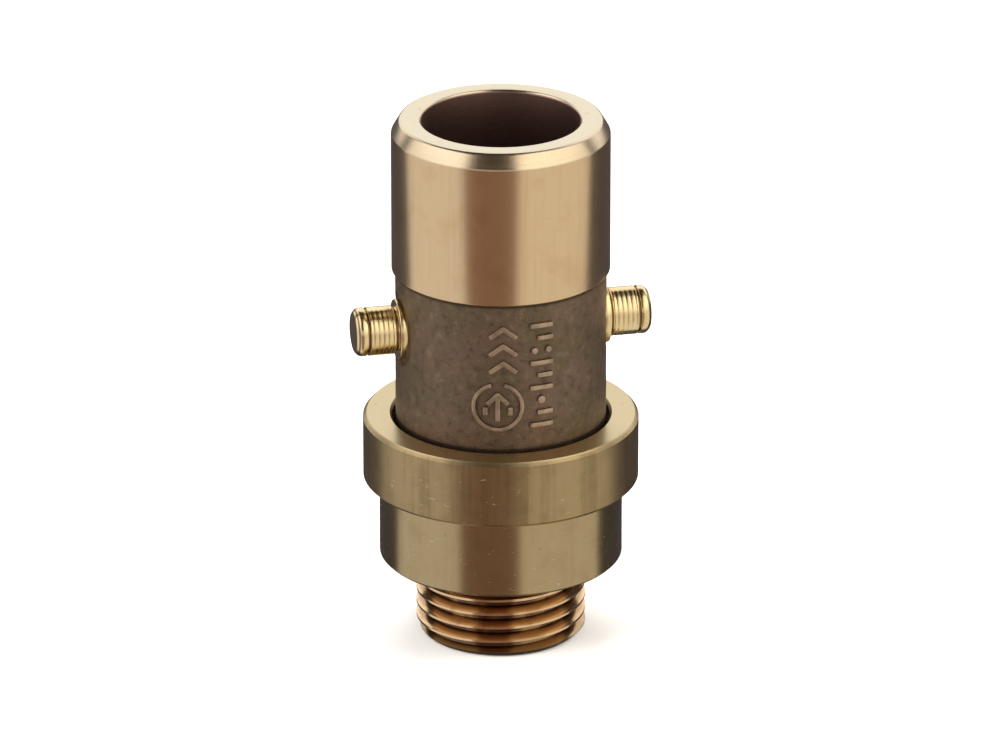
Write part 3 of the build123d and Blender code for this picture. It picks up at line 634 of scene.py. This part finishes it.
castShape = {
    "floatBore": 10.0, "tail": 12.4, "tailLow": 20.4, "flangeLow": 25.4, "flangeHigh": 26.8,
    "flange": 14.3, "barrel": 13.0, "neck": 11.8, "neckTop": 57.6, "bore": 9.5,
    "shoulderLow": 35.0, "shoulderHigh": 36.5, "shoulder": 8.5,
    "sealDepth": 1.45, "sealLow": 21.55, "sealHigh": 23.45,  # the body's O-ring
    "oGap": 0.025, "oSlack": 0.25, "ringSlack": 0.1,  # room round the sleeve's O-ring and the snap ring
    "uneven": 0.07, "grain": 2.6, "trueEnds": (1, 0.3), "wallSteps": 44, "segments": 224,
    "lugHole": 2.53, "spot": 4.7, "spotFloor": 12.2, "outside": 14.0, "drillSides": 96,
}


# the cast body: tail, flange, a slightly uneven barrel and the neck, drilled and spot-faced for the lugs
def makeCasting():
    look = castShape
    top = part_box("outlet_sleeve")[0][2] / mm
    steps = look["wallSteps"]
    rise = top - look["flangeHigh"]
    wall = [(look["barrel"], look["flangeHigh"] + rise * n / steps) for n in range(steps + 1)]
    sealFloor = look["tail"] - look["sealDepth"]
    ringLow, ringHigh, ringOuter = heights("retaining_snap_ring")
    oLow, oHigh, oOuter = heights("sleeve_o_ring")
    oFloor = oOuter - (oHigh - oLow) - look["oGap"]
    oLow, oHigh = oLow - look["oSlack"], oHigh + look["oSlack"]
    profile = [
        (look["floatBore"], look["tailLow"]),
        (look["tail"], look["tailLow"]),
        (look["tail"], look["sealLow"]),
        (sealFloor, look["sealLow"]),
        (sealFloor, look["sealHigh"]),
        (look["tail"], look["sealHigh"]),
        (look["tail"], look["flangeLow"]),
        (look["flange"], look["flangeLow"]),
        (look["flange"], look["flangeHigh"]),
        *wall,
        (look["neck"], top),
        (look["neck"], oLow),
        (oFloor, oLow),
        (oFloor, oHigh),
        (look["neck"], oHigh),
        (look["neck"], look["neckTop"]),
        (look["bore"], look["neckTop"]),
        (look["bore"], ringHigh + look["ringSlack"]),
        (ringOuter + look["ringSlack"], ringHigh + look["ringSlack"]),
        (ringOuter + look["ringSlack"], ringLow),
        (look["bore"], ringLow),
        (look["bore"], look["shoulderHigh"]),
        (look["shoulder"], look["shoulderHigh"]),
        (look["shoulder"], look["shoulderLow"]),
        (look["floatBore"], look["shoulderLow"]),
    ]
    casting = turn("bodyCasting", profile, look["segments"])
    # the as-cast barrel isn't quite true: it dips inwards here and there
    trueLow, trueHigh = look["trueEnds"]
    barrel = casting.vertex_groups.new(name="barrel")
    barrel.add([
        vertex.index for vertex in casting.data.vertices
        if abs(math.hypot(vertex.co.x, vertex.co.y) / mm - look["barrel"]) < 0.01
        and look["flangeHigh"] + trueLow < vertex.co.z / mm < top - trueHigh
    ], 1.0, "REPLACE")
    sand = bpy.data.textures.new("sandMould", "CLOUDS")
    sand.noise_scale = look["grain"] * mm
    sand.noise_depth = 3
    applied(casting, "DISPLACE", texture=sand, texture_coords="LOCAL", vertex_group="barrel",
            strength=look["uneven"] * mm, mid_level=1.0)
    for side in (-1, 1):
        far = look["outside"]
        for radius, near in ((look["spot"], look["spotFloor"]), (look["lugHole"], look["bore"] - 1)):
            bpy.ops.object.select_all(action="DESELECT")
            bpy.ops.mesh.primitive_cylinder_add(
                vertices=look["drillSides"], radius=radius * mm, depth=(far - near) * mm,
                location=(side * (near + far) / 2 * mm, 0, lugAxis * mm),
                rotation=(0, math.pi / 2, 0))
            drill = bpy.context.object
            applied(casting, "BOOLEAN", object=drill, operation="DIFFERENCE", solver="EXACT")
            bpy.data.objects.remove(drill)
    finishPiece(casting, "upper_body", "cast_brass", ["body_casting"], edge=0.06)


makeCasting()

lugShape = {
    "key": 1.6, "keyEnd": 7.85, "stem": 2.5, "stemEnd": 9.5, "flange": 3.7, "seat": 12.2,
    "flangeEnd": 13.2, "pin": 3.0, "neck": 0.22, "neckLength": 0.35, "tip": 0.55,
    "groove": 0.22, "grooveWidth": 0.36, "grooveBack": 1.35, "grooveSlope": 0.08,
    "rings": 5, "ringDepth": 0.014, "ringPitch": 0.6, "ringStart": 0.75, "ringSteps": (0.08, 0.2, 0.28),
    "tipRound": 0.25, "endRound": 0.2, "flangeRound": 0.12, "segments": 96,
}


# one lug: key, stem, flange in the spot-face, then a pin with a neck, fine tool rings,
# a groove and a round tip
def makeLug(name, node, side):
    look = lugShape
    low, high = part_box(node)
    reach = max(abs(low[0]), abs(high[0])) / mm
    height = (low[2] + high[2]) / 2
    pin = look["pin"]
    profile = [
        (look["key"], look["keyEnd"]), (look["key"], look["stemEnd"]), (look["stem"], look["stemEnd"]),
        (look["stem"], look["seat"]), (look["flange"], look["seat"]),
        (look["flange"], look["flangeEnd"]),
        (pin - look["neck"], look["flangeEnd"]),
        (pin - look["neck"], look["flangeEnd"] + look["neckLength"]),
        (pin, look["flangeEnd"] + look["neckLength"] + 0.15),
    ]
    place = look["flangeEnd"] + look["ringStart"]
    sunk = pin - look["ringDepth"]
    down, level, up = look["ringSteps"]
    for ring in range(look["rings"]):
        profile += [(pin, place), (sunk, place + down), (sunk, place + level), (pin, place + up)]
        place += look["ringPitch"]
    floor, slope = pin - look["groove"], look["grooveSlope"]
    far = reach - look["grooveBack"]
    near = far - look["grooveWidth"]
    profile += [
        (pin, near), (floor, near + slope), (floor, far - slope), (pin, far),
        (pin, reach - look["tip"]), (pin - look["tip"], reach),
    ]
    lug = turn(name, profile, look["segments"], capped=True)
    roundRing(lug, pin, reach - look["tip"], look["tipRound"], 4)
    roundRing(lug, pin - look["tip"], reach, look["endRound"], 4)
    roundRing(lug, look["flange"], look["flangeEnd"], look["flangeRound"], 3)
    lug.rotation_euler = (0, side * math.pi / 2, 0)
    lug.location = (0, 0, height)
    bpy.ops.object.select_all(action="DESELECT")
    lug.select_set(True)
    bpy.context.view_layer.objects.active = lug
    bpy.ops.object.transform_apply(location=True, rotation=True, scale=True)
    finishPiece(lug, "upper_body", "lug_brass", [node], edge=0.02)


makeLug("lugLeft", "lug_left", -1)
makeLug("lugRight", "lug_right", 1)

springShape = {"wire": 0.4, "wireSides": 12, "turns": 4, "steps": 40, "lift": 1.8}


# the check spring: its wire's section is wound up round the axis
def makeSpring():
    look = springShape
    low, high = (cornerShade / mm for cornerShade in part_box("check_spring"))
    wire = look["wire"] / 2
    bpy.ops.object.select_all(action="DESELECT")
    bpy.ops.mesh.primitive_circle_add(
        vertices=look["wireSides"], radius=wire * mm,
        location=((high[0] - wire) * mm, 0, (low[2] + wire) * mm), rotation=(math.pi / 2, 0, 0))
    spring = bpy.context.object
    spring.name = spring.data.name = "checkSpring"
    bpy.ops.object.transform_apply(location=True, rotation=True, scale=True)
    rise = (high[2] - low[2] - look["wire"]) / look["turns"]
    applied(spring, "SCREW", axis="Z", angle=2 * math.pi, screw_offset=rise * mm,
            iterations=look["turns"], steps=look["steps"], render_steps=look["steps"],
            use_merge_vertices=False)
    bpy.ops.object.mode_set(mode="EDIT")
    bpy.ops.mesh.select_all(action="SELECT")
    bpy.ops.mesh.fill_holes(sides=0)
    bpy.ops.mesh.select_all(action="SELECT")
    bpy.ops.mesh.normals_make_consistent(inside=False)
    bpy.ops.object.mode_set(mode="OBJECT")
    finishPiece(spring, "upper_body", "stainless", ["check_spring"], edge=0)
    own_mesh(spring)


makeSpring()

# raised marks on the barrel, laid out flat in mm and then bent round it: a ring with a flow arrow in it,
# a short row of chevrons and a long row of tally bars and dots
markShape = {
    "relief": 0.3, "sink": 0.15, "soft": 0.12, "softAngle": 50, "stroke": 0.6, "overlap": 0.6,
    "barPitch": 0.4, "dotSides": 20, "ringSides": 72,
    "ringPlace": (-3.2, 34.6), "ringRadius": 3.2, "ringWidth": 0.5, "ringGap": 40,
    "shaft": (-1.7, 1.5), "arrowHead": (1.15, 0.45, 1.6), "tick": (1.5, -0.9, -0.2),
    "chevronPlace": (-2.55, 42.0), "chevronPitch": 2.25, "chevrons": 3, "chevronSize": (3.0, 1.15),
    "rowPlace": 2.2, "rowLow": 32.0, "rowPitch": 1.62, "rowWidth": 2.6, "shortStart": 0.3,
    "dot": 0.5, "dots": (0.42, 0.4),
    "row": ("long", "short", "dot", "long", "short", "long", "dots", "short", "long"),
}
marks = []


# a flat bar between two points of the layout
def bar(start, end, width):
    middle = ((start[0] + end[0]) / 2, (start[1] + end[1]) / 2)
    length = math.dist(start, end) + width * markShape["overlap"]
    angle = math.atan2(end[1] - start[1], end[0] - start[0])
    bpy.ops.mesh.primitive_grid_add(
        x_subdivisions=max(2, round(length / markShape["barPitch"])), y_subdivisions=3, size=mm,
        location=(middle[0] * mm, 0, middle[1] * mm), rotation=(math.pi / 2, 0, 0))
    mark = bpy.context.object
    mark.scale = (length, width, 1)
    mark.rotation_euler = (math.pi / 2, -angle, 0)
    raised(mark)


# a flat round spot
def dot(place, radius):
    bpy.ops.mesh.primitive_circle_add(
        vertices=markShape["dotSides"], radius=radius * mm, fill_type="NGON",
        location=(place[0] * mm, 0, place[1] * mm), rotation=(math.pi / 2, 0, 0))
    raised(bpy.context.object)


# an open ring: a circle drawn inwards to a flat band, less the faces of its gap
def openRing(place, radius, width, gap):
    bpy.ops.mesh.primitive_circle_add(
        vertices=markShape["ringSides"], radius=radius * mm,
        location=(place[0] * mm, 0, place[1] * mm), rotation=(math.pi / 2, 0, 0))
    mark = bpy.context.object
    bpy.ops.object.transform_apply(location=True, rotation=True, scale=True)
    bpy.ops.object.mode_set(mode="EDIT")
    bpy.ops.mesh.select_all(action="SELECT")
    bpy.ops.mesh.extrude_region_move(TRANSFORM_OT_translate={"value": (0, 0, 0)})
    inner = (radius - width) / radius
    bpy.ops.transform.resize(value=(inner, 1, inner), center_override=(place[0] * mm, 0, place[1] * mm))
    reach = math.radians(gap) / 2
    pick(mark, "FACE", lambda point: abs(math.atan2(point.x - place[0], point.z - place[1])) < reach)
    bpy.ops.mesh.delete(type="FACE")
    bpy.ops.object.mode_set(mode="OBJECT")
    raised(mark)


# gives a flat mark its relief, and keeps it for the join
def raised(mark):
    look = markShape
    bpy.ops.object.select_all(action="DESELECT")
    mark.select_set(True)
    bpy.context.view_layer.objects.active = mark
    bpy.ops.object.transform_apply(location=True, rotation=True, scale=True)
    bpy.ops.object.mode_set(mode="EDIT")
    bpy.ops.mesh.select_all(action="SELECT")
    bpy.ops.transform.translate(value=(0, look["sink"] * mm, 0))
    thickness = look["relief"] + look["sink"]
    bpy.ops.mesh.extrude_region_move(TRANSFORM_OT_translate={"value": (0, -thickness * mm, 0)})
    bpy.ops.mesh.select_all(action="SELECT")
    bpy.ops.mesh.normals_make_consistent(inside=False)
    bpy.ops.object.mode_set(mode="OBJECT")
    applied(mark, "BEVEL", width=look["soft"] * mm, segments=2, limit_method="ANGLE",
            angle_limit=math.radians(look["softAngle"]))
    marks.append(mark)


# lays out all the marks, joins them and bends them round the barrel
def makeMarks():
    look = markShape
    bpy.ops.object.select_all(action="DESELECT")
    across, up = look["ringPlace"]
    openRing((across, up), look["ringRadius"], look["ringWidth"], look["ringGap"])
    stroke = look["stroke"]
    low, high = look["shaft"]
    bar((across, up + low), (across, up + high), stroke)
    reach, low, high = look["arrowHead"]
    for side in (-1, 1):
        bar((across + side * reach, up + low), (across, up + high), stroke)
    reach, low, high = look["tick"]
    for side in (-1, 1):
        bar((across + side * reach, up + low), (across + side * reach, up + high), stroke)
    across, up = look["chevronPlace"]
    width, rise = look["chevronSize"]
    for n in range(look["chevrons"]):
        low = up + (n - (look["chevrons"] - 1) / 2) * look["chevronPitch"] - rise / 2
        bar((across - width / 2, low), (across, low + rise), stroke)
        bar((across + width / 2, low), (across, low + rise), stroke)
    across, half = look["rowPlace"], look["rowWidth"] / 2
    for n, kind in enumerate(look["row"]):
        up = look["rowLow"] + n * look["rowPitch"]
        if kind == "long":
            bar((across - half, up), (across + half, up), stroke)
        if kind == "short":
            bar((across - half * look["shortStart"], up), (across + half, up), stroke)
        if kind == "dot":
            dot((across, up), look["dot"])
        if kind == "dots":
            radius, inset = look["dots"]
            dot((across - half + inset, up), radius)
            dot((across + half - inset, up), radius)
    bpy.ops.object.select_all(action="DESELECT")
    for mark in marks:
        mark.select_set(True)
    bpy.context.view_layer.objects.active = marks[0]
    bpy.ops.object.join()
    joined = bpy.context.object
    joined.name = joined.data.name = "castMarks"
    places = [vertex.co.x for vertex in joined.data.vertices]
    radius = castShape["barrel"] * mm
    applied(joined, "SIMPLE_DEFORM", deform_method="BEND", deform_axis="Z",
            angle=(max(places) - min(places)) / radius)
    joined.location = (0, -radius, 0)
    bpy.ops.object.transform_apply(location=True, rotation=True, scale=True)
    finishPiece(joined, "upper_body", "cast_brass", edge=0)


makeMarks()

bpy.context.scene.view_settings.view_transform = "Standard"
